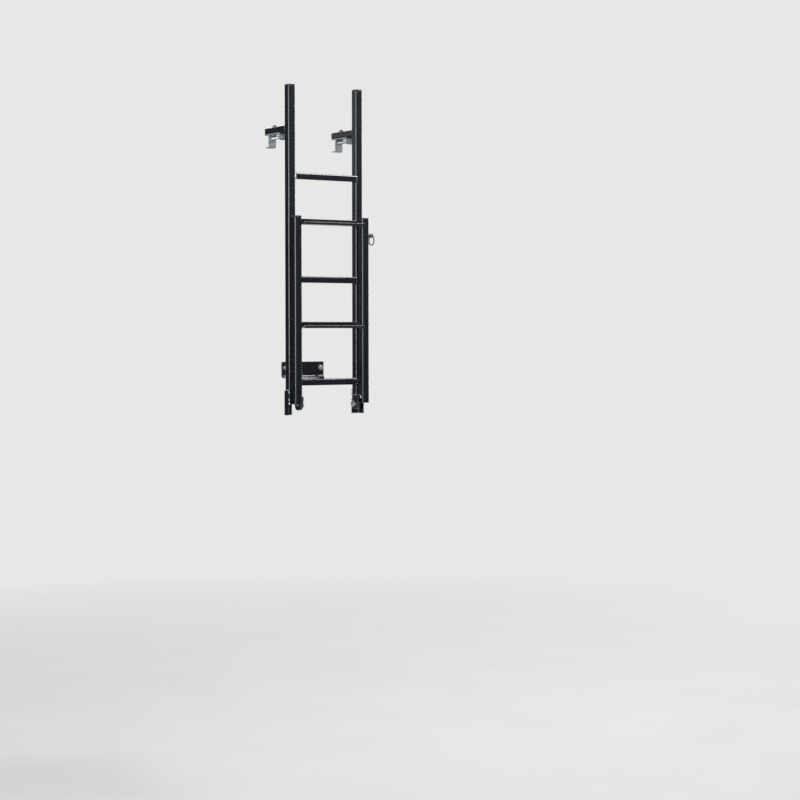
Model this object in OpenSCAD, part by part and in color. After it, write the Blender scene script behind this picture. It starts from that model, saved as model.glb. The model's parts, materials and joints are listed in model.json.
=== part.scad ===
// Folding access ladder that hangs behind a vehicle's rear corner.
// An upper section is held off the body by two arms that clamp to the roof
// gutter and by a bolted plate at waist height. A lower section is hinged at
// the upper section's feet and is drawn folded up in front of it.
// X runs across the ladder, Y runs into the vehicle, Z is up. The origin is on
// the back face of the waist plate, midway between its two bolt holes.

/* [Rails] */
// Distance between the centres of the two rails
rail_pitch = 200; // [180:1:320]
// Outside width and depth of the square rail tube
tube = 20; // [18:0.5:26]
// Wall thickness of the square tube
tube_wall = 2; // [1.5:0.1:3]
// Outside corner radius of the square tube
tube_corner = 2.5; // [1:0.1:3]
// Rail length above the centre of the top rung, cap included
handle = 228; // [180:1:300]
// Gap between the folded lower section and the upper section
frame_gap = 10; // [9:0.5:16]
// Thickness of the flat head of a tube cap
cap_head = 3; // [2:0.5:5]
// Length of a cap's plug inside the tube
cap_plug = 14; // [8:1:20]

/* [Rungs] */
// Distance between the centres of neighbouring rungs, unfolded
rung_pitch = 258; // [220:1:280]
// Height of the lowest upper rung's centre above the hinge pivot
lowest_rung = 57; // [55:1:75]
// Height of a rung, which is its front flange
tread_height = 16; // [14:0.5:20]
// Height of a rung's short back lip
tread_lip = 7; // [5:0.5:10]
// Sheet thickness of a rung
tread_sheet = 2.5; // [1.5:0.1:4]
// Outside radius of the bends along a rung
tread_bend = 4; // [3:0.5:5]
// How far a rung stands out in front of the rails
tread_nose = 5; // [2:0.5:5]
// How far a rung reaches behind the rails
tread_tail = 12; // [4:0.5:16]
// Rail length beyond the last rung of the lower section, cap left out
end_inset = 3; // [0:0.5:10]

/* [Hinge] */
// Radius of the round hinge lugs
lug_radius = 13; // [12:0.5:15]
// Thickness of each hinge lug
lug_thick = 4; // [3:0.5:7]
// Side gap between the upper and the lower lug
lug_gap = 0.5; // [0.3:0.1:1]
// Width of a hinge lug's tail
lug_tail = 14; // [12:0.5:18]
// Diameter of the pivot bolt's shank
pivot_dia = 8; // [6:0.5:10]
// Height of the welded part of a hinge lug on its rail
lug_weld = 8; // [6:1:24]
// Distance from the pivot to the end of each rail
end_gap = 3; // [3:0.5:8]
// Plate thickness of the angle that stops the unfolded section
stop_sheet = 3; // [2:0.5:5]
// Reach of the stop angle above the pivot
stop_above = 37; // [25:1:45]
// Reach of the stop angle below the pivot
stop_below = 25; // [15:1:40]
// Gap left between the stop angle and the unfolded rail
stop_relief = 0.5; // [0.3:0.1:1]

/* [Roof arms] */
// Height of the rectangular tube of the arms, as wide as the rails
arm_height = 16; // [14:0.5:20]
// Distance from the vehicle's skin to the back of the upper rails
standoff = 98; // [92:1:140]
// Distance from the top of the rails down to the top of the arms
arm_drop = 101; // [60:1:180]
// Gap between the end of an arm and the plane of the vehicle's skin
arm_short = 2; // [1:0.5:8]
// Diameter of the arm bolts
bolt_dia = 6; // [5:0.5:8]

/* [Gutter clamps] */
// Sheet thickness of the clamp parts
clamp_sheet = 3; // [2:0.5:4]
// Width of the clamp parts
clamp_width = 22; // [18:0.5:26]
// Diameter of the clamp screws
screw_dia = 8; // [6:0.5:8]
// Distance of the jaw behind the rail
jaw_back = 75; // [74:1:80]
// Distance between the clamp's tab and its jaw
clamp_grip = 50; // [34:1:54]
// Distance from the clamp screw's axis down to the edge of the tab
tab_edge = 8; // [7:0.5:12]
// Corner radius of the tab and the jaw
clamp_corner = 6; // [3:0.5:9]
// Outside radius of the bends in the strap and the jaw
clamp_bend = 4; // [3:0.5:5]
// How far the strap reaches past the jaw
strap_past_jaw = 16; // [4:1:18]
// Depth of the jaw below the arm
jaw_height = 35; // [28:0.5:40]
// Length of the jaw's foot under the gutter
jaw_foot = 12; // [8:0.5:14]

/* [Waist plate] */
// Distance from a bolt hole's centre to the nearer end of the plate
plate_edge = 10; // [6:0.5:20]
// Height of the plate above its bolt holes
plate_rise = 16; // [12:0.5:24]
// Height of the bolt holes above the lowest upper rung's tread
hole_rise = 26; // [20:0.5:32]
// Distance between the two bolt holes
hole_pitch = 105; // [80:1:106]
// Diameter of the two bolt holes
hole_dia = 8.5; // [6:0.1:10]
// Thickness of the plate and its tongue
plate_sheet = 5; // [3:0.5:6]
// Outside radius of the bend between the plate and its tongue
plate_bend = 8; // [7:0.5:10]
// Radius of the plate's upper corners
plate_corner = 2; // [2:0.5:5]
// Width of the tongue's end on the rung
tongue_width = 14; // [12:1:60]
// How far the tongue lies on the rung
tongue_lap = 10; // [8:0.5:24]

/* [Lock pin] */
// Distance of the lock pin from the free end of its rail, cap left out
pin_inset = 41; // [20:1:90]
// Diameter of the lock pin
pin_dia = 6; // [5:0.5:8]
// Length of the lock pin's body outside the rail
pin_body = 9; // [4:0.5:12]
// Centre-line radius of the pull ring
ring_radius = 11.5; // [8:0.5:14]
// Wire diameter of the pull ring
ring_wire = 2.8; // [2:0.1:3]

/* [Hidden] */

round_fn = 48;
left = -1;
right = 1;
black = "#1c1e22";
zinc = "#b9bdbd";
dark = "#3c3e42";
plastic = "#101113";

// Fits and small clearances
plug_clear = 0.15;
run_clear = 0.1;
bolt_clear = 0.2;
pad_clear = 1;
lug_inset = 2;
screw_clear = 1;
nut_clear = 0.5;
pin_clear = 0.3;

// Hexagon bolts and nuts, as shares of the shank's diameter
hex_across_flats = 1.6;
head_share = 0.66;
nut_share = 0.5;
washer_share = 2;
pivot_washer_share = 1.75;
washer_sheet = 1.6;

// Places measured from the pivot: Y is positive towards the vehicle
rail_x = rail_pitch / 2;
inner_x = rail_x - tube / 2;
outer_x = rail_x + tube / 2;
rail_front = frame_gap / 2;
rail_back = rail_front + tube;
tread_top = lowest_rung + tread_height / 2;
upper_end = lowest_rung + 2 * rung_pitch + handle;
lower_end = 2 * rung_pitch - lowest_rung + tread_height / 2 + end_inset;
arm_top = upper_end - arm_drop;
arm_bottom = arm_top - arm_height;
arm_end = rail_back + standoff - arm_short;
skin_y = rail_back + standoff;
hole_z = tread_top + hole_rise;
plate_width = hole_pitch + 2 * plate_edge;
lug_pad = lug_radius + pad_clear;
cavity = tube - 2 * tube_wall;

// Inner faces of the upper and the lower hinge lugs, and the lugs' welded ends
upper_face = inner_x - lug_gap;
lower_face = upper_face - lug_thick - lug_gap;
tail_height = lug_pad + lug_weld;

// The clamp screw passes just under the arm bolt's nut, and its own nut sits at the jaw
jaw_front = rail_back + jaw_back;
tab_front = jaw_front - clamp_grip - clamp_sheet;
screw_nut = nut_share * screw_dia;
arm_nut = nut_share * bolt_dia;
arm_nut_radius = hex_across_flats * bolt_dia / (2 * cos(30));
arm_bolt_y = jaw_front - screw_nut - nut_clear - arm_nut_radius;
screw_drop = clamp_sheet + arm_nut + screw_dia / 2 + screw_clear;

// The lock pin's eye, outside the right rail
pin_y = rail_front + tube / 2;
pin_height = lower_end - pin_inset;
eye_sheet = 3;
eye_radius = 5;
eye_x = outer_x + pin_body + eye_radius;
eye_hole = ring_wire + 2;

module from_pivot() {
    translate([0, -skin_y, -hole_z]) children();
}

// The lower section is drawn hanging open and turned up about the pivot
module folded() {
    from_pivot() rotate([180, 0, 0]) children();
}

// A flat outline in Y and Z, thickened along X from x0
module across(x0, thickness) {
    translate([x0, 0, 0]) rotate([90, 0, 90]) linear_extrude(thickness) children();
}

// A plate or block on one side of the ladder, between two distances from its middle
module on_side(side, near, far) {
    across(side > 0 ? near : -far, far - near) children();
}

// A rod along X on one side of the ladder
module side_rod(side, near, far, radius, y, z) {
    translate([side > 0 ? near : -far, y, z])
        rotate([0, 90, 0])
            cylinder(r = radius, h = far - near, $fn = round_fn);
}

// Outline of bent sheet: its outer corner at the origin, one leg along each axis
module bent_corner(leg_x, leg_y, sheet, bend) {
    translate([bend, 0]) square([leg_x - bend, sheet]);
    translate([0, bend]) square([sheet, leg_y - bend]);
    difference() {
        intersection() {
            translate([bend, bend]) circle(r = bend, $fn = round_fn);
            square(bend);
        }
        translate([bend, bend]) circle(r = bend - sheet, $fn = round_fn);
    }
}

// Rectangle from low to high with its two upper corners rounded
module round_top(low, high, radius) {
    translate(low) square([high[0] - low[0], high[1] - low[1] - radius]);
    translate([low[0] + radius, low[1]]) square([high[0] - low[0] - 2 * radius, high[1] - low[1]]);
    for (x = [low[0] + radius, high[0] - radius])
        translate([x, high[1] - radius]) circle(r = radius, $fn = round_fn);
}

// Rectangle from low to high with only its far corner rounded
module round_corner(low, high, radius) {
    translate(low) square([high[0] - low[0], high[1] - low[1] - radius]);
    translate(low) square([high[0] - low[0] - radius, high[1] - low[1]]);
    translate([high[0] - radius, high[1] - radius]) circle(r = radius, $fn = round_fn);
}

// A flat outline in X and Z, thickened along Y from y0
module facing(y0, thickness) {
    translate([0, y0 + thickness, 0]) rotate([90, 0, 0]) linear_extrude(thickness) children();
}

// Rectangle about the origin with rounded corners
module rounded(width, depth, radius) {
    square([width, depth - 2 * radius], center = true);
    square([width - 2 * radius, depth], center = true);
    for (x = [-1, 1], y = [-1, 1])
        translate([x * (width / 2 - radius), y * (depth / 2 - radius)]) circle(r = radius, $fn = round_fn);
}

// Tube as wide as a rail from low to high, with its cavity from cavity_low to cavity_high
module tube_section(depth, low, high, cavity_low, cavity_high) {
    difference() {
        translate([0, 0, low]) linear_extrude(high - low) rounded(tube, depth, tube_corner);
        translate([-cavity / 2, tube_wall - depth / 2, cavity_low])
            cube([cavity, depth - 2 * tube_wall, cavity_high - cavity_low]);
    }
}

module hexagon(across_flats, height) {
    cylinder(d = across_flats / cos(30), h = height, $fn = 6);
}

// Rail from low to a cut end at high, closed at the hinge end
module rail(low, high) {
    tube_section(tube, low, high, low + tube_wall, high + 1);
}

module tube_cap(end) {
    plug = cavity - 2 * plug_clear;
    translate([0, 0, end - cap_head]) linear_extrude(cap_head) rounded(tube, tube, tube_corner);
    translate([-plug / 2, -plug / 2, end - cap_head - cap_plug]) cube([plug, plug, cap_plug]);
}

// Pressed rung: flat tread, long flange at the climber's side, short lip behind
module rung(height) {
    front = rail_front - tread_nose;
    back = rail_back + tread_tail;
    top = height + tread_height / 2;
    across(-inner_x, 2 * inner_x) {
        translate([front, top])
            mirror([0, 1])
                bent_corner(back - front - tread_bend, tread_height, tread_sheet, tread_bend);
        translate([back, top])
            rotate(180)
                bent_corner(2 * tread_bend, tread_lip, tread_sheet, tread_bend);
    }
}

module upper_rail(side) {
    color(black)
        from_pivot()
            translate([side * rail_x, rail_front + tube / 2, 0])
                rail(end_gap, upper_end - cap_head);
}

module upper_cap(side) {
    color(plastic)
        from_pivot()
            translate([side * rail_x, rail_front + tube / 2, 0])
                tube_cap(upper_end);
}

module upper_rung(step) {
    color(black) from_pivot() rung(lowest_rung + step * rung_pitch);
}

module gutter_arm(side) {
    color(black)
        from_pivot()
            difference() {
                translate([side * rail_x, rail_back, arm_top - arm_height / 2])
                    rotate([-90, 0, 0])
                        tube_section(arm_height, 0, arm_end - rail_back, -1, arm_end - rail_back - tube_wall);
                translate([side * rail_x, arm_bolt_y, arm_bottom - 1])
                    cylinder(d = bolt_dia + 2 * bolt_clear, h = arm_height + 2, $fn = round_fn);
            }
}

// Bore along the clamp screw's axis through a plate that starts at front
module screw_bore(front, dia) {
    translate([0, front - 1, -screw_drop])
        rotate([-90, 0, 0])
            cylinder(d = dia, h = clamp_sheet + 2, $fn = round_fn);
}

// Strap under the arm, with a tab turned down at its inner end for the clamp screw
module clamp_strap(side) {
    strap_length = clamp_grip + 2 * clamp_sheet + strap_past_jaw;
    tab_height = screw_drop + tab_edge;
    half = clamp_width / 2;
    color(zinc)
        from_pivot()
            translate([side * rail_x, 0, arm_bottom])
                difference() {
                    intersection() {
                        across(-half, clamp_width)
                            translate([tab_front, 0])
                                mirror([0, 1])
                                    bent_corner(strap_length, tab_height, clamp_sheet, clamp_bend);
                        mirror([0, 0, 1])
                            facing(tab_front, strap_length)
                                round_top([-half, 0], [half, tab_height], clamp_corner);
                    }
                    translate([0, arm_bolt_y, -clamp_sheet - 1])
                        cylinder(d = bolt_dia + 2 * bolt_clear, h = clamp_sheet + 2, $fn = round_fn);
                    screw_bore(tab_front, screw_dia + 2 * bolt_clear);
                }
}

// Jaw that the clamp screw carries: its foot hooks under the roof gutter
module gutter_jaw(side) {
    foot_length = clamp_sheet + jaw_foot;
    half = clamp_width / 2;
    color(zinc)
        from_pivot()
            translate([side * rail_x, 0, arm_bottom])
                difference() {
                    intersection() {
                        across(-half, clamp_width)
                            translate([jaw_front, -jaw_height])
                                bent_corner(foot_length, jaw_height - clamp_sheet, clamp_sheet, clamp_bend);
                        facing(jaw_front, foot_length)
                            round_top([-half, -jaw_height], [half, -clamp_sheet], clamp_corner);
                    }
                    screw_bore(jaw_front, screw_dia);
                }
}

// Screw along the arm: its head bears on the strap's tab and its nut on the jaw
module clamp_screw(side) {
    head = head_share * screw_dia;
    color(zinc)
        from_pivot()
            translate([side * rail_x, 0, arm_bottom - screw_drop])
                rotate([-90, 0, 0]) {
                    translate([0, 0, tab_front - head])
                        hexagon(hex_across_flats * screw_dia, head);
                    translate([0, 0, tab_front - head / 2])
                        cylinder(d = screw_dia, h = jaw_front + clamp_sheet - tab_front + head / 2,
                                 $fn = round_fn);
                    translate([0, 0, jaw_front - screw_nut])
                        hexagon(hex_across_flats * screw_dia, screw_nut);
                }
}

// Bolt down through the arm and the strap
module arm_bolt(side) {
    color(dark)
        from_pivot()
            translate([side * rail_x, arm_bolt_y, 0]) {
                translate([0, 0, arm_bottom - clamp_sheet - arm_nut]) {
                    cylinder(d = bolt_dia, h = arm_height + clamp_sheet + arm_nut, $fn = round_fn);
                    hexagon(hex_across_flats * bolt_dia, arm_nut);
                }
                translate([0, 0, arm_top])
                    cylinder(d = washer_share * bolt_dia, h = washer_sheet, $fn = round_fn);
                translate([0, 0, arm_top + washer_sheet])
                    hexagon(hex_across_flats * bolt_dia, head_share * bolt_dia);
            }
}

// Outline of a hinge lug about its pivot: a round end that widens to a tail above it
module lug_outline() {
    circle(r = lug_radius, $fn = round_fn);
    polygon([
        [lug_inset, 0],
        [lug_radius, 0],
        [lug_inset + lug_tail, lug_pad],
        [lug_inset + lug_tail, tail_height],
        [lug_inset, tail_height]
    ]);
}

// Round hinge lug with a tail and a pad that is welded to the rail's inner face
module upper_lug(side) {
    color(black)
        from_pivot()
            difference() {
                union() {
                    on_side(side, upper_face - lug_thick, upper_face) lug_outline();
                    on_side(side, upper_face, inner_x)
                        translate([rail_front, lug_pad])
                            square([lug_inset + lug_tail - rail_front, lug_weld]);
                }
                side_rod(side, upper_face - lug_thick - 1, upper_face + 1, pivot_dia / 2, 0, 0);
            }
}

// Angle welded behind and outside the rail's foot: the unfolded rail lands in it
module stop_angle(side) {
    back = rail_back + stop_sheet;
    color(black)
        from_pivot()
            mirror([side < 0 ? 1 : 0, 0, 0])
                difference() {
                    translate([0, 0, -stop_below])
                        linear_extrude(stop_above + stop_below)
                            round_corner([inner_x, rail_front], [outer_x + stop_sheet, back],
                                         tube_corner + stop_sheet);
                    translate([0, 0, -stop_below - 1])
                        linear_extrude(stop_above + stop_below + 2)
                            round_corner([inner_x - 1, rail_front - 1], [outer_x, rail_back], tube_corner);
                    translate([0, 0, -stop_below - 1])
                        linear_extrude(stop_below + 1)
                            round_corner([inner_x - 1, rail_front - 1],
                                         [outer_x + stop_relief, rail_back + stop_relief], tube_corner);
                }
}

// Pivot bolt, screwed into the upper lug from the middle of the ladder
module pivot_bolt(side) {
    head_start = lower_face - lug_thick - lug_gap - washer_sheet;
    head = head_share * pivot_dia;
    color(zinc)
        from_pivot() {
            side_rod(side, head_start - head / 2, upper_face, pivot_dia / 2, 0, 0);
            side_rod(side, head_start, head_start + washer_sheet, pivot_washer_share * pivot_dia / 2, 0, 0);
            translate([side > 0 ? head_start - head : -head_start, 0, 0])
                rotate([0, 90, 0])
                    hexagon(hex_across_flats * pivot_dia, head);
        }
}

// Bent plate on the vehicle's waist: its tongue runs out to lie on the bottom rung's tread
module waist_plate() {
    tongue_end = rail_back + tread_tail - tongue_lap;
    half = plate_width / 2;
    reach = skin_y - tongue_end;
    plate_top = hole_z + plate_rise;
    color(black)
        from_pivot()
            difference() {
                intersection() {
                    across(-half, plate_width)
                        translate([skin_y, tread_top])
                            mirror([1, 0])
                                bent_corner(reach, plate_top - tread_top, plate_sheet, plate_bend);
                    translate([0, 0, tread_top])
                        linear_extrude(plate_top - tread_top)
                            polygon([
                                [-half, skin_y],
                                [-half, skin_y - plate_bend],
                                [-tongue_width / 2, tongue_end],
                                [tongue_width / 2, tongue_end],
                                [half, skin_y - plate_bend],
                                [half, skin_y]
                            ]);
                    facing(tongue_end, reach)
                        round_top([-half, tread_top], [half, plate_top], plate_corner);
                }
                for (x = [-1, 1])
                    translate([x * hole_pitch / 2, skin_y + 1, hole_z])
                        rotate([90, 0, 0])
                            cylinder(d = hole_dia, h = plate_sheet + 2, $fn = round_fn);
            }
}

module lower_rail(side) {
    color(black)
        difference() {
            folded()
                translate([side * rail_x, rail_front + tube / 2, 0])
                    rotate([180, 0, 0])
                        rail(end_gap, lower_end);
            if (side == right) lock_pin_hole();
        }
}

module lower_cap(side) {
    color(plastic)
        folded()
            translate([side * rail_x, rail_front + tube / 2, 0])
                rotate([180, 0, 0])
                    tube_cap(lower_end + cap_head);
}

module lower_rung(step) {
    color(black) folded() rung(lowest_rung - step * rung_pitch);
}

// Lug beside the upper one, with a pad that steps out to the rail's inner face
module lower_lug(side) {
    color(black)
        folded()
            difference() {
                union() {
                    on_side(side, lower_face - lug_thick, lower_face) mirror([0, 1]) lug_outline();
                    on_side(side, lower_face, inner_x)
                        translate([rail_front, -tail_height])
                            square([lug_inset + lug_tail - rail_front, lug_weld]);
                }
                side_rod(side, lower_face - lug_thick - 1, lower_face + 1, pivot_dia / 2 + run_clear, 0, 0);
            }
}

module lock_pin_hole() {
    from_pivot()
        side_rod(right, outer_x - tube_wall - 1, outer_x + 1, pin_dia / 2 + bolt_clear, -pin_y, pin_height);
}

// Pin into the right rail, with a round body and an eye outside it
module lock_pin() {
    tip = inner_x + tube_wall + pin_clear;
    color(zinc)
        from_pivot() {
            side_rod(right, tip, outer_x + pin_body / 2, pin_dia / 2, -pin_y, pin_height);
            side_rod(right, outer_x, outer_x + pin_body, pin_dia, -pin_y, pin_height);
            difference() {
                union() {
                    translate([eye_x, eye_sheet / 2 - pin_y, pin_height])
                        rotate([90, 0, 0])
                            cylinder(r = eye_radius, h = eye_sheet, $fn = round_fn);
                    translate([outer_x + pin_body / 2, -eye_sheet / 2 - pin_y, pin_height - pin_dia / 2])
                        cube([eye_radius + pin_body / 2, eye_sheet, pin_dia]);
                }
                translate([eye_x, eye_sheet - pin_y, pin_height])
                    rotate([90, 0, 0])
                        cylinder(d = eye_hole, h = 2 * eye_sheet, $fn = round_fn);
            }
        }
}

module pull_ring() {
    ring_hang = (eye_hole - ring_wire) / 2 - plug_clear;
    color(dark)
        from_pivot()
            translate([eye_x, -pin_y, pin_height - ring_hang - ring_radius])
                rotate([0, 90, 0])
                    rotate_extrude($fn = round_fn)
                        translate([ring_radius, 0]) circle(d = ring_wire, $fn = 24);
}

upper_rail(left);  // upper_rail_left
upper_rail(right);  // upper_rail_right
upper_cap(left);  // upper_cap_left
upper_cap(right);  // upper_cap_right
upper_rung(2);  // top_rung
upper_rung(1);  // middle_rung
upper_rung(0);  // bottom_rung
gutter_arm(left);  // gutter_arm_left
gutter_arm(right);  // gutter_arm_right
clamp_strap(left);  // clamp_strap_left
clamp_strap(right);  // clamp_strap_right
gutter_jaw(left);  // gutter_jaw_left
gutter_jaw(right);  // gutter_jaw_right
clamp_screw(left);  // clamp_screw_left
clamp_screw(right);  // clamp_screw_right
arm_bolt(left);  // arm_bolt_left
arm_bolt(right);  // arm_bolt_right
upper_lug(left);  // upper_lug_left
upper_lug(right);  // upper_lug_right
stop_angle(left);  // stop_angle_left
stop_angle(right);  // stop_angle_right
pivot_bolt(left);  // pivot_bolt_left
pivot_bolt(right);  // pivot_bolt_right
waist_plate();
lower_rail(left);  // lower_rail_left
lower_rail(right);  // lower_rail_right
lower_cap(left);  // lower_cap_left
lower_cap(right);  // lower_cap_right
lower_rung(1);  // folding_rung_near_hinge
lower_rung(2);  // folding_rung_at_end
lower_lug(left);  // lower_lug_left
lower_lug(right);  // lower_lug_right
lock_pin();
pull_ring();
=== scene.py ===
"""The looks of a folding access ladder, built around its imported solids.

Lengths are metres in the row frame: X runs across the ladder, Y from its front to its back, Z up.
"""

import json
import math
import random

import bpy
from mathutils import Matrix, Vector


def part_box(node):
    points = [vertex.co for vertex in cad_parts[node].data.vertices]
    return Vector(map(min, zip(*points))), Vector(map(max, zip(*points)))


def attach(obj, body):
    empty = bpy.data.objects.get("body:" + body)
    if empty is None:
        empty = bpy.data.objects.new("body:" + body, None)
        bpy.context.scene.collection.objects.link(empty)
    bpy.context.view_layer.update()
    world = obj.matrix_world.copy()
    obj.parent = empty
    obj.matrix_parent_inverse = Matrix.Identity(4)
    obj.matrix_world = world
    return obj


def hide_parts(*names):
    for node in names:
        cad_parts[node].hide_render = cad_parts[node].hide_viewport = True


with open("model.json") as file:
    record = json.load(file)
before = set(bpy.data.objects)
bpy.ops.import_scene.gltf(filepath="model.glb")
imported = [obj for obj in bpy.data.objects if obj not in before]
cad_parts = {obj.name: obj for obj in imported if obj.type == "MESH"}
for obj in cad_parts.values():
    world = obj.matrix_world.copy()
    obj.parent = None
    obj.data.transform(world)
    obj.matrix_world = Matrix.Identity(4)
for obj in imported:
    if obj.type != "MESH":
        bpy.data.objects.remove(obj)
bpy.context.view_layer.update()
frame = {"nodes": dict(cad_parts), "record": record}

UPPER = "upper_section"
LOWER = "lower_section"
SIDES = {"left": -1, "right": 1}
MM = 0.001
dice = random.Random(7)

# Camera, solved from straight edges of the ladder in the photograph
IMAGE_PX = 800
FOCAL_PX = 1907.9
SENSOR_MM = 36
CAMERA_AT = (-2.5847, -4.2057, 0.0951)
CAMERA_YAW = math.radians(34.511)
CAMERA_PITCH = math.radians(-2.076)
CAMERA_ROLL = math.radians(-0.068)

# Floor and background
FLOOR_Z = -1.02
FLOOR_RADIUS = 9
FLOOR_CORNERS = 64
FLOOR_FADE = (1.2, 3.8)
FLOOR_TONES = ((0.57, 0.57, 0.56, 1), (0.59, 0.59, 0.58, 1))
BACKDROP = (0.80, 0.80, 0.79, 1)
SKY_LIGHT = (0.80, 0.84, 0.90, 1)
SKY_STRENGTH = 0.2

# Cards that only reflections see: position, size, colour at the foot and at the top
CARD_BLACK = (0.01, 0.01, 0.01)
CARDS = {
    "card_rear_left": ((-1.75, 2.75, -0.1), (2.1, 1.7), (0.22, 0.21, 0.20), (0.30, 0.30, 0.32)),
    "card_behind": ((-0.72, 0.62, 0.35), (0.5, 1.4), CARD_BLACK, CARD_BLACK),
    "card_front_right": ((1.75, -2.95, 0.5), (1.9, 2.0), (0.10, 0.13, 0.19), (0.56, 0.61, 0.71)),
    "card_right": ((3.4, -0.6, 0.4), (1.2, 2.6), CARD_BLACK, CARD_BLACK),
}
# Softboxes: position, size in two directions, watts, colour
LAMPS = {
    "left_strip": ((-6.0, -0.9, 0.7), (4.4, 1.9), 350, (0.95, 0.97, 1.0)),
    "front_left_strip": ((-4.6, -4.2, 0.7), (4.2, 1.9), 170, (0.97, 0.98, 1.0)),
    "front_strip": ((-1.8, -6.1, 0.7), (2.8, 1.9), 80, (1.0, 0.99, 0.97)),
    "right_strip": ((5.2, 1.4, 0.7), (0.9, 1.9), 110, (0.96, 0.98, 1.0)),
    "top": ((1.6, -0.6, 2.8), (1.5, 0.9), 120, (1.0, 1.0, 1.0)),
    "rear": ((1.2, 4.2, 2.0), (1.8, 1.4), 60, (0.98, 0.99, 1.0)),
}
LAMP_TARGET = Vector((0, -0.1, 0.3))

# Sizes of the solids that their boxes alone don't tell
RUNG_SHEET = 2.5 * MM
STRAP_SHEET = 3 * MM
WAIST_SHEET = 5 * MM
WAIST_HOLE_X = 52.5 * MM
TONGUE_HALF_WIDTH = 7 * MM

# Screws and bolts. A washer is its bore radius, outer radius and thickness.
M8_RADIUS = 4 * MM
M8_THREAD_RADIUS = 3.95 * MM
M8_PITCH = 1.25 * MM
M8_NUT_HEIGHT = 4 * MM
M8_BORE_RADIUS = 3.6 * MM
M6_THREAD_RADIUS = 2.95 * MM
M6_PITCH = 1.0 * MM
M6_BORE_RADIUS = 2.7 * MM
M6_FLATS = 9.6 * MM
M6_WASHER = (3.1 * MM, 6 * MM, 1.6 * MM)
PIVOT_FLATS = 12.8 * MM
PIVOT_HEAD = 5.28 * MM
PIVOT_WASHER = (4.05 * MM, 7 * MM, 1.6 * MM)
PIVOT_TIP = 0.5 * MM
WAIST_FLATS = 10.5 * MM
WAIST_HEAD = 4.4 * MM
WAIST_WASHER = (4.05 * MM, 6.8 * MM, 1.4 * MM)
WAIST_SHANK = 6 * MM
WAIST_SHANK_BACK = -0.5 * MM

# Weld beads on the lugs reach this far down from a lug's top
LUG_BEAD_HEIGHT = 8 * MM

# Edge radius of each kind of part, found by a word in the node's name
EDGE_RADIUS = {
    "rail": 0.9 * MM,
    "cap": 0.9 * MM,
    "rung": 1.1 * MM,
    "arm": 0.4 * MM,
    "strap": 0.6 * MM,
    "jaw": 0.6 * MM,
    "lug": 0.5 * MM,
    "stop": 0.5 * MM,
    "waist": 0.6 * MM,
    "lock": 0.3 * MM,
}
EDGE_SEGMENTS = 3
EDGE_ANGLE = math.radians(40)
FLAT_ANGLE = math.radians(0.5)
MERGE_DISTANCE = 1e-6

# Sockets of a Mix node: its inputs for the share and the two colours, and its colour output
MIX_SHARE, MIX_FIRST, MIX_SECOND, MIX_RESULT = 0, 6, 7, 2
# Cosines between the true and the rounded normal, on a marked edge and on a flat
EDGE_MATCH, FLAT_MATCH = 0.86, 0.995


def feed(socket, value):
    """Links value to a socket if it is another node's output, or else sets the socket to it."""
    if isinstance(value, bpy.types.NodeSocket):
        socket.id_data.links.new(value, socket)
    else:
        socket.default_value = value


class Shader:
    """A node tree under construction: values are numbers, colours or other nodes' outputs."""

    def __init__(self, tree):
        self.tree = tree
        tree.nodes.clear()

    def add(self, kind, inputs=None, output=0, **settings):
        node = self.tree.nodes.new(kind)
        for key, value in settings.items():
            setattr(node, key, value)
        for key, value in (inputs or {}).items():
            feed(node.inputs[key], value)
        return node.outputs[output] if node.outputs else None

    def place(self):
        return self.add("ShaderNodeTexCoord", output="Object")

    def noise(self, scale, detail=3.0, roughness=0.5, stretch=None):
        place = self.place()
        if stretch:
            place = self.add("ShaderNodeMapping", {"Vector": place, "Scale": stretch})
        return self.add("ShaderNodeTexNoise", {
            "Vector": place, "Scale": scale, "Detail": detail, "Roughness": roughness})

    def spread(self, value, low, high, start=0.3, end=0.7):
        """value between start and end, mapped to low and high."""
        return self.add("ShaderNodeMapRange", {
            "Value": value, "From Min": start, "From Max": end, "To Min": low, "To Max": high})

    def blend(self, share, first, second):
        """Mix of two colours by a share that varies over the surface."""
        inputs = {MIX_SHARE: share, MIX_FIRST: first, MIX_SECOND: second}
        return self.add("ShaderNodeMix", inputs, output=MIX_RESULT, data_type="RGBA")

    def math(self, operation, first, second):
        return self.add("ShaderNodeMath", {0: first, 1: second}, operation=operation)

    def seen(self):
        """1 for camera, glossy and transmission rays, and 0 for the rays that light things."""
        path = self.tree.nodes.new("ShaderNodeLightPath")
        direct = self.math("MAXIMUM", path.outputs["Is Camera Ray"], path.outputs["Is Glossy Ray"])
        return self.math("MAXIMUM", direct, path.outputs["Is Transmission Ray"])

    def edges(self, radius):
        """1 on edges sharper than radius, fading to 0 on flats."""
        rounded = self.add("ShaderNodeBevel", {"Radius": radius}, samples=4)
        plain = self.add("ShaderNodeNewGeometry", output="Normal")
        match = self.add("ShaderNodeVectorMath", {0: rounded, 1: plain}, output="Value",
                         operation="DOT_PRODUCT")
        return self.spread(match, 1.0, 0.0, EDGE_MATCH, FLAT_MATCH)

    def patchy_edges(self, radius, scale, low, high):
        """Share of edge marks, uneven over patches of a noise at scale: wear on the bolts, wear and painted
        highlight on the powder coat.
        """
        return self.math("MULTIPLY", self.edges(radius), self.spread(self.noise(scale), low, high))

    def bump(self, height, strength, distance):
        inputs = {"Height": height, "Strength": strength, "Distance": distance}
        return self.add("ShaderNodeBump", inputs)

    def surface(self, inputs):
        shader = self.add("ShaderNodeBsdfPrincipled", inputs)
        self.add("ShaderNodeOutputMaterial", {"Surface": shader})


def new_material(name):
    material = bpy.data.materials.new(name)
    material.use_nodes = True
    return material, Shader(material.node_tree)


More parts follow.
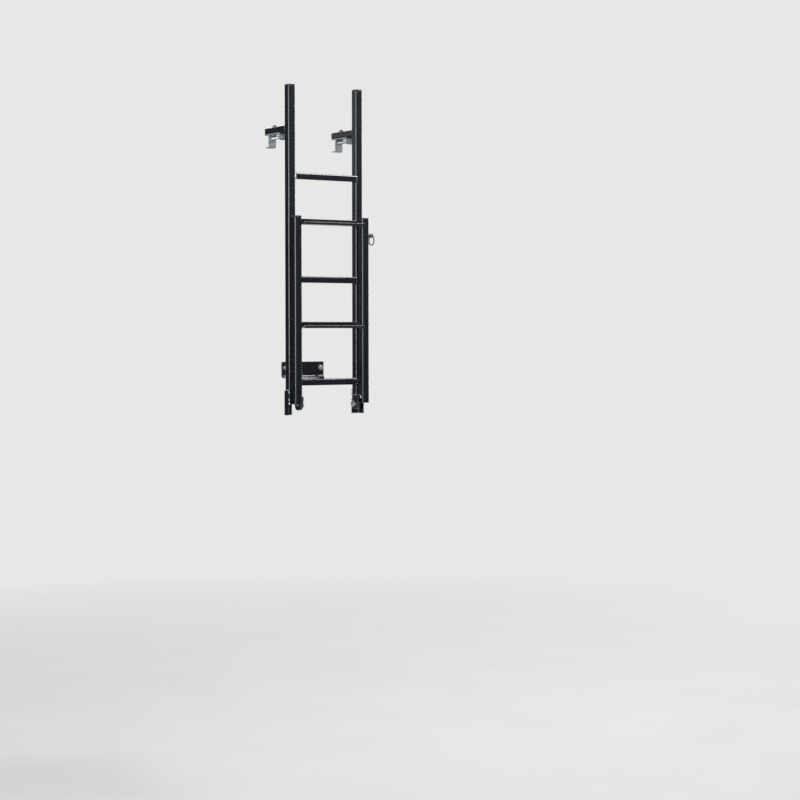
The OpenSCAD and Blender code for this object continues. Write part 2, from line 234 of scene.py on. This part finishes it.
def powder_coat(name, edge_wear_and_highlight_colour=None, roughness=(0.16, 0.21)):
    """Satin black powder coat: faint orange peel, slight tone changes, and edges lightened to the given
    colour, partly wear and partly a painted highlight.
    """
    dark, light = (0.0026, 0.0033, 0.0050, 1), (0.0050, 0.0060, 0.0085, 1)
    speck = (0.016, 0.017, 0.020, 1)
    material, shader = new_material(name)
    clouds = shader.noise(scale=22)
    grain = shader.noise(scale=900, detail=2)
    tone = shader.blend(shader.spread(clouds, 0, 1), dark, light)
    tone = shader.blend(shader.spread(grain, 0, 0.3, start=0.62, end=0.75), tone, speck)
    if edge_wear_and_highlight_colour:
        # Lighter edges: partly wear, partly a painted highlight that stands in for the glint along the
        # rounded corners.
        tone = shader.blend(shader.patchy_edges(1.2 * MM, scale=90, low=0.5, high=0.8), tone, edge_wear_and_highlight_colour)
    peel = shader.noise(scale=520, detail=2, roughness=0.6)
    shader.surface({
        "Base Color": tone,
        "Roughness": shader.spread(shader.noise(scale=45, detail=4), *roughness),
        "Specular IOR Level": 0.42,
        "IOR": 1.48,
        "Normal": shader.bump(peel, strength=0.02, distance=0.4 * MM),
    })
    return material


def zinc_plate(name, dark, light, film_colour):
    """Zinc plating: grey metal with a soft mottle, fine scratches and a duller film."""
    material, shader = new_material(name)
    mottle = shader.noise(scale=160, detail=5, roughness=0.65)
    tone = shader.blend(shader.spread(mottle, 0, 1, start=0.35, end=0.65), dark, light)
    film = shader.noise(scale=38)
    tone = shader.blend(shader.spread(film, 0, 0.35), tone, film_colour)
    scratches = shader.noise(scale=700, detail=2, stretch=(1, 0.06, 1))
    shader.surface({
        "Base Color": tone,
        "Metallic": 1.0,
        "Roughness": shader.spread(shader.noise(scale=240, detail=4), 0.40, 0.58),
        "Normal": shader.bump(scratches, strength=0.12, distance=0.3 * MM),
    })
    return material


def worn_weld():
    """A weld bead whose powder coat is rubbed through to the metal in patches."""
    coat, metal = (0.012, 0.013, 0.016, 1), (0.38, 0.40, 0.43, 1)
    material, shader = new_material("worn_weld")
    bare = shader.spread(shader.noise(scale=420, detail=3), 0, 1, start=0.38, end=0.52)
    grain = shader.noise(scale=1100, detail=2)
    shader.surface({
        "Base Color": shader.blend(bare, coat, metal),
        "Metallic": shader.spread(bare, 0.1, 0.9, start=0, end=1),
        "Roughness": shader.spread(shader.noise(scale=300), 0.26, 0.38),
        "Normal": shader.bump(grain, strength=0.1, distance=0.2 * MM),
    })
    return material


def dark_bolt():
    """Dark plated steel for the small bolts and the pull ring."""
    dark, light = (0.030, 0.031, 0.034, 1), (0.07, 0.072, 0.076, 1)
    bare = (0.15, 0.15, 0.15, 1)
    material, shader = new_material("dark_bolt")
    mottle = shader.noise(scale=300, detail=4)
    tone = shader.blend(shader.spread(mottle, 0, 1), dark, light)
    tone = shader.blend(shader.patchy_edges(0.5 * MM, scale=400, low=0.1, high=0.8), tone, bare)
    grain = shader.noise(scale=1200, detail=2)
    shader.surface({
        "Base Color": tone,
        "Metallic": 0.9,
        "Roughness": shader.spread(shader.noise(scale=500), 0.30, 0.45),
        "Normal": shader.bump(grain, strength=0.08, distance=0.2 * MM),
    })
    return material


def black_plastic():
    """Moulded matte plastic: fine spark-eroded grain and slightly burnished edges."""
    dark, light = (0.010, 0.010, 0.011, 1), (0.018, 0.018, 0.020, 1)
    burnish = (0.055, 0.055, 0.058, 1)
    material, shader = new_material("black_plastic")
    clouds = shader.noise(scale=60)
    tone = shader.blend(shader.spread(clouds, 0, 1), dark, light)
    tone = shader.blend(shader.math("MULTIPLY", shader.edges(1 * MM), 0.5), tone, burnish)
    grain = shader.noise(scale=1600, detail=2)
    shader.surface({
        "Base Color": tone,
        "Roughness": shader.spread(shader.noise(scale=700), 0.50, 0.66),
        "Specular IOR Level": 0.4,
        "Normal": shader.bump(grain, strength=0.2, distance=0.2 * MM),
    })
    return material


# Edge colour of the powder coat: partly wear, partly a painted highlight along the rounded corners.
EDGE_WEAR_AND_HIGHLIGHT = (0.13, 0.14, 0.16, 1)
# Zinc: its dark and light tones, and the colour of its film
BRIGHT_ZINC = ((0.20, 0.23, 0.25, 1), (0.46, 0.49, 0.50, 1), (0.36, 0.36, 0.34, 1))
TARNISHED_ZINC = ((0.045, 0.04, 0.045, 1), (0.11, 0.10, 0.11, 1), (0.08, 0.07, 0.075, 1))
DULL_ROUGHNESS = (0.25, 0.30)

MATERIALS = {
    "black_powder_coat": powder_coat("black_powder_coat", EDGE_WEAR_AND_HIGHLIGHT),
    "zinc_plate": zinc_plate("zinc_plate", *BRIGHT_ZINC),
    "dark_bolt": dark_bolt(),
    "black_plastic": black_plastic(),
}
BEAD_MATERIAL = powder_coat("powder_coated_bead")
WORN_BEAD_MATERIAL = worn_weld()
# Looks of single nodes that differ from the rest of their material slot
NODE_LOOKS = {
    "waist_plate": powder_coat("powder_coated_plate", EDGE_WEAR_AND_HIGHLIGHT, DULL_ROUGHNESS),
    "lock_pin": zinc_plate("tarnished_zinc", *TARNISHED_ZINC),
}


def make_camera():
    forward = Vector((
        math.sin(CAMERA_YAW) * math.cos(CAMERA_PITCH),
        math.cos(CAMERA_YAW) * math.cos(CAMERA_PITCH),
        math.sin(CAMERA_PITCH),
    ))
    level = Vector((math.cos(CAMERA_YAW), -math.sin(CAMERA_YAW), 0))
    upright = level.cross(forward)
    across = level * math.cos(CAMERA_ROLL) + upright * math.sin(CAMERA_ROLL)
    up = upright * math.cos(CAMERA_ROLL) - level * math.sin(CAMERA_ROLL)
    data = bpy.data.cameras.new("camera")
    data.sensor_width = SENSOR_MM
    data.lens = FOCAL_PX / IMAGE_PX * SENSOR_MM
    camera = bpy.data.objects.new("camera", data)
    turn = Matrix((across, up, -forward)).transposed().to_4x4()
    camera.matrix_world = Matrix.Translation(CAMERA_AT) @ turn
    bpy.context.scene.collection.objects.link(camera)
    bpy.context.scene.camera = camera


def make_lamps():
    for name, (place, size, watts, colour) in LAMPS.items():
        data = bpy.data.lights.new(name, "AREA")
        data.shape = "RECTANGLE"
        data.size, data.size_y = size
        data.energy = watts
        data.color = colour
        lamp = bpy.data.objects.new(name, data)
        lamp.location = place
        lamp.rotation_euler = (LAMP_TARGET - Vector(place)).to_track_quat("-Z", "Y").to_euler()
        lamp.visible_camera = False
        bpy.context.scene.collection.objects.link(lamp)


def card_material(name, height, foot, top):
    """A glow that changes from the card's foot to its top."""
    material, shader = new_material(name)
    upward = shader.add("ShaderNodeSeparateXYZ", {0: shader.place()}, output="Y")
    share = shader.spread(upward, 0, 1, -height / 2, height / 2)
    colour = shader.blend(share, (*foot, 1), (*top, 1))
    glow = shader.add("ShaderNodeEmission", {"Color": colour, "Strength": 1.0})
    shader.add("ShaderNodeOutputMaterial", {"Surface": glow})
    return material


def make_cards():
    for name, (place, (width, height), foot, top) in CARDS.items():
        across, up = width / 2, height / 2
        corners = [(-across, -up, 0), (across, -up, 0), (across, up, 0), (-across, up, 0)]
        mesh = bpy.data.meshes.new(name)
        mesh.from_pydata(corners, [], [range(len(corners))])
        mesh.materials.append(card_material(name, height, foot, top))
        card = bpy.data.objects.new(name, mesh)
        card.location = place
        card.rotation_euler = (LAMP_TARGET - Vector(place)).to_track_quat("Z", "Y").to_euler()
        for rays in ("camera", "diffuse", "shadow", "transmission"):
            setattr(card, f"visible_{rays}", False)
        bpy.context.scene.collection.objects.link(card)


def make_world():
    """A pale backdrop for what is seen, and a weaker light for what is lit."""
    world = bpy.data.worlds.new("world")
    bpy.context.scene.world = world
    world.use_nodes = True
    shader = Shader(world.node_tree)
    lighting = shader.add("ShaderNodeBackground", {"Color": SKY_LIGHT, "Strength": SKY_STRENGTH})
    backdrop = shader.add("ShaderNodeBackground", {"Color": BACKDROP, "Strength": 1.0})
    mixed = shader.add("ShaderNodeMixShader", {0: shader.seen(), 1: lighting, 2: backdrop})
    shader.add("ShaderNodeOutputWorld", {"Surface": mixed})


def floor_material():
    """A pale floor that takes shadows near the ladder and fades into the backdrop."""
    material, shader = new_material("floor")
    reach = shader.add("ShaderNodeVectorMath", {0: shader.place()}, output="Value", operation="LENGTH")
    fade = shader.spread(reach, 0, 1, *FLOOR_FADE)
    grain = shader.blend(shader.spread(shader.noise(scale=3), 0, 1), *FLOOR_TONES)
    plain = shader.add("ShaderNodeBsdfDiffuse", {"Color": grain})
    glow = shader.add("ShaderNodeEmission", {"Color": BACKDROP, "Strength": 1.0})
    share = shader.math("MULTIPLY", fade, shader.seen())
    mixed = shader.add("ShaderNodeMixShader", {0: share, 1: plain, 2: glow})
    shader.add("ShaderNodeOutputMaterial", {"Surface": mixed})
    return material


def make_floor():
    angles = [math.tau * i / FLOOR_CORNERS for i in range(FLOOR_CORNERS)]
    rim = [(FLOOR_RADIUS * math.cos(a), FLOOR_RADIUS * math.sin(a), 0) for a in angles]
    mesh = bpy.data.meshes.new("floor")
    mesh.from_pydata(rim, [], [range(FLOOR_CORNERS)])
    mesh.materials.append(floor_material())
    floor = bpy.data.objects.new("floor", mesh)
    floor.location = (0, 0, FLOOR_Z)
    bpy.context.scene.collection.objects.link(floor)


class Shells:
    """Points and faces of one piece, gathered from closed shells."""

    def __init__(self):
        self.points = []
        self.faces = []

    def add(self, rings, place=Matrix(), hollow=False):
        """rings: lists of points, all as long, that follow each other. hollow joins the last to the first."""
        start = len(self.points)
        size = len(rings[0])
        self.points += [place @ Vector(p) for ring in rings for p in ring]
        pairs = [(r, r + 1) for r in range(len(rings) - 1)]
        if hollow:
            pairs.append((len(rings) - 1, 0))
        for a, b in pairs:
            for s in range(size):
                t = (s + 1) % size
                corners = (a * size + s, a * size + t, b * size + t, b * size + s)
                self.faces.append([start + corner for corner in corners])
        if not hollow:
            last = start + (len(rings) - 1) * size
            self.faces.append(list(range(start + size - 1, start - 1, -1)))
            self.faces.append(list(range(last, last + size)))

    def piece(self, name, slot, body, replaces=(), sharp=35, material=None):
        """Makes the piece. Edges sharper than sharp degrees are shaded as edges."""
        mesh = bpy.data.meshes.new(name)
        mesh.from_pydata(self.points, [], self.faces)
        mesh.validate()
        mesh.materials.append(material or MATERIALS[slot])
        mesh.polygons.foreach_set("use_smooth", [True] * len(mesh.polygons))
        mesh.set_sharp_from_angle(angle=math.radians(sharp))
        piece = bpy.data.objects.new(name, mesh)
        bpy.context.scene.collection.objects.link(piece)
        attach(piece, body)
        if replaces:
            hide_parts(*replaces)


def ring(height, radius, segments=72):
    """Points at one height about Z. radius is a number or a function of the angle."""
    made = []
    for i in range(segments):
        angle = math.tau * i / segments
        r = radius(angle) if callable(radius) else radius
        made.append((r * math.cos(angle), r * math.sin(angle), height))
    return made


def hex_rings(across_flats, height, both_ends=False):
    """Outer rings of a hexagon from 0 to height, its corners cut by a 30 degree cone at one or both ends."""
    steps = 5
    slope = math.tan(math.pi / 6)
    face_radius = 0.475 * across_flats
    depth = (across_flats / 2 / math.cos(math.pi / 6) - face_radius) * slope
    shares = [i / steps for i in range(steps + 1)]

    def cone(share):
        limit = face_radius + share * depth / slope
        return lambda angle: min(limit, across_flats / 2 / math.cos(angle % (math.pi / 3) - math.pi / 6))

    low = [ring(share * depth, cone(share)) for share in shares] if both_ends else [ring(0, cone(1))]
    return low + [ring(height - share * depth, cone(share)) for share in reversed(shares)]


def nut_rings(across_flats, height, bore_radius):
    """Closed loop of rings: chamfered hexagon outside, countersunk bore inside."""
    sink = 0.06 * across_flats
    mouth_radius = bore_radius + sink
    inside = [
        ring(height, mouth_radius), ring(height - sink, bore_radius),
        ring(sink, bore_radius), ring(0, mouth_radius),
    ]
    return hex_rings(across_flats, height, both_ends=True) + inside


def washer_rings(inner, outer, height):
    """Closed loop of rings: flat washer with its punched edge slightly rounded."""
    round_edge = 0.2 * height
    return [
        ring(0, inner), ring(0, outer - round_edge), ring(round_edge, outer),
        ring(height - round_edge, outer), ring(height, outer - round_edge), ring(height, inner),
    ]


def thread_rings(start, end, radius, pitch):
    """Rings of a right-handed thread, tapered at both ends."""
    depth = 0.54 * pitch
    steps_a_turn = 8
    flank = 2.4
    least_taper = 0.2
    segments = 36
    count = int((end - start) / pitch * steps_a_turn)
    made = []
    for i in range(count + 1):
        height = start + (end - start) * i / count
        taper = min(1.0, (height - start) / pitch + least_taper, (end - height) / pitch + least_taper)

        def groove(angle):
            turn = (height / pitch - angle / math.tau) % 1
            return radius - depth * (1 - taper * min(1, flank * abs(turn - 0.5)))

        made.append(ring(height, groove, segments))
    return made


def middle(low, high):
    return (low + high) / 2


def spun(place, axis):
    """Row position and direction of a turned part: its own Z axis points along axis."""
    turns = {
        "+Y": Matrix.Rotation(-math.pi / 2, 4, "X"),
        "-Y": Matrix.Rotation(math.pi / 2, 4, "X"),
        "+X": Matrix.Rotation(math.pi / 2, 4, "Y"),
        "-X": Matrix.Rotation(-math.pi / 2, 4, "Y"),
        "+Z": Matrix(),
    }
    return Matrix.Translation(place) @ turns[axis]


def make_clamp_screws():
    """M8 screws through the clamps: hexagon head, rolled thread and a nut at the jaw."""
    end_gap = 0.1 * MM
    for side in SIDES:
        low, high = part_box(f"clamp_screw_{side}")
        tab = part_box(f"clamp_strap_{side}")[0].y
        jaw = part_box(f"gutter_jaw_{side}")[0].y
        x, z = middle(low, high).x, middle(low, high).z
        flats = high.z - low.z
        head = hex_rings(flats, tab - low.y)
        thread = thread_rings(tab, high.y - end_gap, M8_THREAD_RADIUS, M8_PITCH)
        nut = nut_rings(flats, M8_NUT_HEIGHT, M8_BORE_RADIUS)
        shells = Shells()
        shells.add(head, spun((x, tab, z), "-Y"))
        shells.add(thread, spun((x, 0, z), "+Y"))
        shells.add(nut, spun((x, jaw - M8_NUT_HEIGHT, z), "+Y"), hollow=True)
        shells.piece(f"clamp_screw_threaded_{side}", "zinc_plate", UPPER, [f"clamp_screw_{side}"])


def make_arm_bolts():
    """M6 bolts down through the arms, each with a washer on top and a thin nut below."""
    for side in SIDES:
        low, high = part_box(f"arm_bolt_{side}")
        arm_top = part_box(f"gutter_arm_{side}")[1].z
        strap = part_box(f"clamp_strap_{side}")
        x, y = middle(low, high).x, middle(low, high).y
        head_height = high.z - arm_top - M6_WASHER[2]
        head = hex_rings(M6_FLATS, head_height)
        nut = nut_rings(M6_FLATS, strap[1].z - STRAP_SHEET - low.z, M6_BORE_RADIUS)
        thread = thread_rings(low.z, arm_top, M6_THREAD_RADIUS, M6_PITCH)
        shells = Shells()
        shells.add(washer_rings(*M6_WASHER), spun((x, y, arm_top), "+Z"), hollow=True)
        shells.add(head, spun((x, y, high.z - head_height), "+Z"))
        shells.add(nut, spun((x, y, low.z), "+Z"), hollow=True)
        shells.add(thread, spun((x, y, 0), "+Z"))
        shells.piece(f"arm_bolt_threaded_{side}", "dark_bolt", UPPER, [f"arm_bolt_{side}"])


def make_pivot_bolts():
    """M8 pivot bolts: hexagon head and washer towards the middle of the ladder, plain shank in the lugs."""
    for side, sign in SIDES.items():
        low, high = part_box(f"pivot_bolt_{side}")
        y, z = middle(low, high).y, middle(low, high).z
        inner = min(abs(low.x), abs(high.x))
        outer = max(abs(low.x), abs(high.x))
        length = outer - inner - PIVOT_HEAD
        seat = (sign * (inner + PIVOT_HEAD), y, z)
        out, back = ("+X", "-X") if sign > 0 else ("-X", "+X")
        shank = [ring(0, M8_RADIUS), ring(length - PIVOT_TIP, M8_RADIUS), ring(length, M8_RADIUS - PIVOT_TIP)]
        shells = Shells()
        shells.add(hex_rings(PIVOT_FLATS, PIVOT_HEAD), spun(seat, back))
        shells.add(washer_rings(*PIVOT_WASHER), spun(seat, out), hollow=True)
        shells.add(shank, spun(seat, out))
        shells.piece(f"pivot_bolt_detailed_{side}", "zinc_plate", UPPER, [f"pivot_bolt_{side}"])


def make_waist_bolts():
    """The two M8 bolts through the holes of the waist plate."""
    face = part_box("waist_plate")[1].y - WAIST_SHEET
    shank = [ring(0, M8_RADIUS), ring(WAIST_SHANK, M8_RADIUS)]
    for side, sign in SIDES.items():
        x = sign * WAIST_HOLE_X
        shells = Shells()
        shells.add(washer_rings(*WAIST_WASHER), spun((x, face, 0), "-Y"), hollow=True)
        shells.add(hex_rings(WAIST_FLATS, WAIST_HEAD), spun((x, face - WAIST_WASHER[2], 0), "-Y"))
        shells.add(shank, spun((x, WAIST_SHANK_BACK, 0), "-Y"))
        shells.piece(f"waist_bolt_{side}", "zinc_plate", UPPER)


def make_pull_ring():
    """Split ring of flattened spring wire, two coils side by side."""
    turns = 1.94
    count = 150
    wire_sides = 12
    step_sharpness = 40
    coil_shift, height_share, width_share = 0.25, 0.42, 0.24
    low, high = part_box("pull_ring")
    centre = middle(low, high)
    wire = high.x - low.x
    radius = (high.z - low.z - wire) / 2
    rings = []
    for i in range(count + 1):
        share = i / count
        angle = math.pi / 2 + turns * math.tau * share
        step = 1 / (1 + math.exp(-step_sharpness * (share - 0.5)))
        x = centre.x + wire * coil_shift * (2 * step - 1)
        outward = Vector((0, math.cos(angle), math.sin(angle)))
        at = Vector((x, centre.y, centre.z)) + outward * radius
        made = []
        for k in range(wire_sides):
            a = math.tau * k / wire_sides
            sideways = Vector((width_share * wire * math.sin(a), 0, 0))
            made.append(at + (outward * (height_share * wire * math.cos(a)) + sideways))
        rings.append(made)
    shells = Shells()
    shells.add(rings)
    shells.piece("pull_ring_split", "dark_bolt", LOWER, ["pull_ring"])


def add_bead(shells, start, end, radius, out, flip=None):
    """A weld bead from start to end, centred on a corner, its ripples bowed towards out."""
    sides = 16
    step = 0.3 * MM
    ripple, ripple_height, ripple_lag = 1.5 * MM, 0.09, 0.5
    wander, wander_length = 0.06, 4.1 * MM
    jitter = 0.015
    body = 0.92
    least_taper = 0.02
    least_count = 8
    start, end = Vector(start), Vector(end)
    run = end - start
    ahead = run.normalized()
    out = Vector(out).normalized()
    across = ahead.cross(out)
    count = max(least_count, int(run.length / step))
    sway = dice.uniform(0, math.tau)
    rings = []
    for i in range(count + 1):
        s = run.length * i / count
        nearest = min(s, run.length - s)
        taper = math.sqrt(max(least_taper, 1 - max(0, 1 - nearest / radius) ** 2))
        drift = wander * math.sin(s / wander_length + sway) + dice.uniform(-jitter, jitter)
        made = []
        for k in range(sides):
            a = math.tau * k / sides
            wave = ripple_height * abs(math.sin(math.pi * (s / ripple + ripple_lag * math.cos(a))))
            r = radius * taper * (body + drift + wave)
            made.append(start + ahead * s + (out * math.cos(a) + across * math.sin(a)) * r)
        rings.append(made)
    shells.add(rings, flip or Matrix())


def rung_beads(shells, front_shells, low, high, rail_front, rail_back, flip=None):
    """Beads at both ends of a rung with its tread on top: on and under the tread, and down the front."""
    top_radius, under_radius, front_radius = 2.1 * MM, 1.9 * MM, 2.4 * MM
    inset, top_inset, bottom_inset = 2.5 * MM, 1 * MM, 0.5 * MM
    outward, forward = 0.8 * MM, 1.2 * MM
    front, back = rail_front + inset, rail_back - inset
    under = high.z - RUNG_SHEET
    y = rail_front - forward
    top, bottom = high.z - top_inset, low.z + bottom_inset
    for sign in SIDES.values():
        x = sign * high.x
        add_bead(shells, (x, front, high.z), (x, back, high.z), top_radius, (-sign, 0, 1), flip)
        add_bead(shells, (x, back, under), (x, front, under), under_radius, (-sign, 0, -1), flip)
        x += sign * outward
        add_bead(front_shells, (x, y, top), (x, y, bottom), front_radius, (sign, -1, 0), flip)


def weld_piece(shells, name, body, material):
    shells.piece(name, "black_powder_coat", body, sharp=60, material=material)


def weld_upper_rungs(rail):
    shells, end_shells = Shells(), Shells()
    for name in ("top_rung", "middle_rung", "bottom_rung"):
        rung_beads(shells, end_shells, *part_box(name), rail[0].y, rail[1].y)
    weld_piece(shells, "rung_welds_upper", UPPER, BEAD_MATERIAL)
    weld_piece(end_shells, "rung_end_welds_upper", UPPER, WORN_BEAD_MATERIAL)


def weld_folding_rungs(lower):
    """Welds the folding section as it hangs unfolded, and turns the beads up about the pivot."""
    pivot = middle(*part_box("pivot_bolt_right"))
    pivot.x = 0
    flip = Matrix.Translation(pivot) @ Matrix.Rotation(math.pi, 4, "X") @ Matrix.Translation(-pivot)
    rail_front, rail_back = sorted((flip @ corner).y for corner in lower)
    shells = Shells()
    for name in ("folding_rung_near_hinge", "folding_rung_at_end"):
        corners = [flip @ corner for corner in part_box(name)]
        low = Vector(map(min, *corners))
        high = Vector(map(max, *corners))
        rung_beads(shells, shells, low, high, rail_front, rail_back, flip)
    weld_piece(shells, "rung_welds_lower", LOWER, BEAD_MATERIAL)


def weld_arms(rail):
    """Beads on all four sides where each arm meets its rail."""
    flat_radius, side_radius = 2.4 * MM, 2.0 * MM
    flat_inset, side_inset, side_depth = 1.5 * MM, 2 * MM, 1.1 * MM
    y = rail[1].y
    shells = Shells()
    for side in SIDES:
        low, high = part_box(f"gutter_arm_{side}")
        near, far = low.x + flat_inset, high.x - flat_inset
        add_bead(shells, (near, y, high.z), (far, y, high.z), flat_radius, (0, 1, 1))
        add_bead(shells, (near, y, low.z), (far, y, low.z), flat_radius, (0, 1, -1))
        for edge, outward in ((low.x, -1), (high.x, 1)):
            x = edge - outward * side_depth
            start, end = (x, y, low.z + side_inset), (x, y, high.z - side_inset)
            add_bead(shells, start, end, side_radius, (outward, 0, 0))
    weld_piece(shells, "arm_welds", UPPER, BEAD_MATERIAL)


def weld_upper_lugs(rail):
    """Beads over the top, down the back and up the front of each upper lug's pad."""
    edge_radius, front_radius = 1.8 * MM, 1.6 * MM
    front_inset, top_inset = 0.5 * MM, 2 * MM
    shells = Shells()
    for side, sign in SIDES.items():
        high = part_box(f"upper_lug_{side}")[1]
        x = sign * rail[0].x
        top, bottom = high.z, high.z - LUG_BEAD_HEIGHT
        front, back = rail[0].y + front_inset, high.y
        add_bead(shells, (x, rail[0].y + top_inset, top), (x, back, top), edge_radius, (-sign, 0, 1))
        add_bead(shells, (x, back, top), (x, back, bottom), edge_radius, (-sign, 1, 0))
        add_bead(shells, (x, front, bottom), (x, front, top), front_radius, (0, -1, 0))
    weld_piece(shells, "lug_welds_upper", UPPER, WORN_BEAD_MATERIAL)


def weld_lower_lugs(rail, lower):
    """Beads over the top and up the front of each lower lug's pad."""
    radius = 2.0 * MM
    back_inset = 0.5 * MM
    shells = Shells()
    for side, sign in SIDES.items():
        low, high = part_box(f"lower_lug_{side}")
        x = sign * rail[0].x
        top, bottom = high.z, high.z - LUG_BEAD_HEIGHT
        front, back = low.y, lower[1].y - back_inset
        add_bead(shells, (x, front, top), (x, back, top), radius, (-sign, 0, 1))
        add_bead(shells, (x, front, bottom), (x, front, top), radius, (-sign, -1, 0))
    weld_piece(shells, "lug_welds_lower", LOWER, WORN_BEAD_MATERIAL)


def weld_stops(rail):
    """Three stitches up the front of each stop angle, and beads along its top and down its back."""
    stitch_places = (0.06, 0.32, 0.86)
    stitch_radius, top_radius, back_radius = 2.2 * MM, 2.0 * MM, 1.4 * MM
    stitch_half = 3.5 * MM
    inset, end_inset = 3 * MM, 1 * MM
    depth = 0.2 * MM
    inner, outer, back = rail[0].x, rail[1].x, rail[1].y
    foot = rail[0].z
    shells = Shells()
    for side, sign in SIDES.items():
        low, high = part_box(f"stop_angle_{side}")
        x = sign * (outer - depth)
        y = low.y + depth
        for share in stitch_places:
            z = foot + share * (high.z - foot)
            add_bead(shells, (x, y, z - stitch_half), (x, y, z + stitch_half), stitch_radius, (0, -1, 0))
        start, end = (sign * outer, low.y + inset, high.z), (sign * outer, back - inset, high.z)
        add_bead(shells, start, end, top_radius, (sign, 0, 1))
        start, end = (sign * (inner + inset), back, high.z), (x - sign * inset, back, high.z)
        add_bead(shells, start, end, top_radius, (0, 1, 1))
        start, end = (sign * inner, back, high.z - end_inset), (sign * inner, back, foot + end_inset)
        add_bead(shells, start, end, back_radius, (-sign, 0, 0))
    weld_piece(shells, "stop_welds", UPPER, WORN_BEAD_MATERIAL)


def weld_plate():
    """The bead across the end of the waist plate's tongue."""
    radius = 1.5 * MM
    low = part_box("waist_plate")[0]
    start, end = (-TONGUE_HALF_WIDTH, low.y, low.z), (TONGUE_HALF_WIDTH, low.y, low.z)
    shells = Shells()
    add_bead(shells, start, end, radius, (0, -1, 1))
    weld_piece(shells, "plate_welds", UPPER, BEAD_MATERIAL)


def make_welds():
    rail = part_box("upper_rail_right")
    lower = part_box("lower_rail_right")
    weld_upper_rungs(rail)
    weld_folding_rungs(lower)
    weld_arms(rail)
    weld_upper_lugs(rail)
    weld_lower_lugs(rail, lower)
    weld_stops(rail)
    weld_plate()


def round_edges(node, radius):
    """Modifiers that join the node's triangles to plain faces and round its sharp edges."""
    weld = node.modifiers.new("weld", "WELD")
    weld.merge_threshold = MERGE_DISTANCE
    flats = node.modifiers.new("flats", "DECIMATE")
    flats.decimate_type = "DISSOLVE"
    flats.angle_limit = FLAT_ANGLE
    bevel = node.modifiers.new("edges", "BEVEL")
    bevel.width = radius
    bevel.segments = EDGE_SEGMENTS
    bevel.limit_method = "ANGLE"
    bevel.angle_limit = EDGE_ANGLE
    shading = node.modifiers.new("shading", "WEIGHTED_NORMAL")
    shading.keep_sharp = False


def dress_nodes():
    """Gives every CAD node its material, and a small real radius on its sharp edges."""
    slots = {row["node"]: row["material_slot"] for row in frame["record"]["subparts"]}
    for name, node in frame["nodes"].items():
        node.data.materials.clear()
        node.data.materials.append(NODE_LOOKS.get(name, MATERIALS[slots[name]]))
        radius = next((value for key, value in EDGE_RADIUS.items() if key in name), None)
        if radius:
            round_edges(node, radius)


make_camera()
make_lamps()
make_cards()
make_world()
make_floor()
dress_nodes()
make_clamp_screws()
make_arm_bolts()
make_pivot_bolts()
make_waist_bolts()
make_pull_ring()
make_welds()

bpy.context.scene.view_settings.view_transform = "Standard"
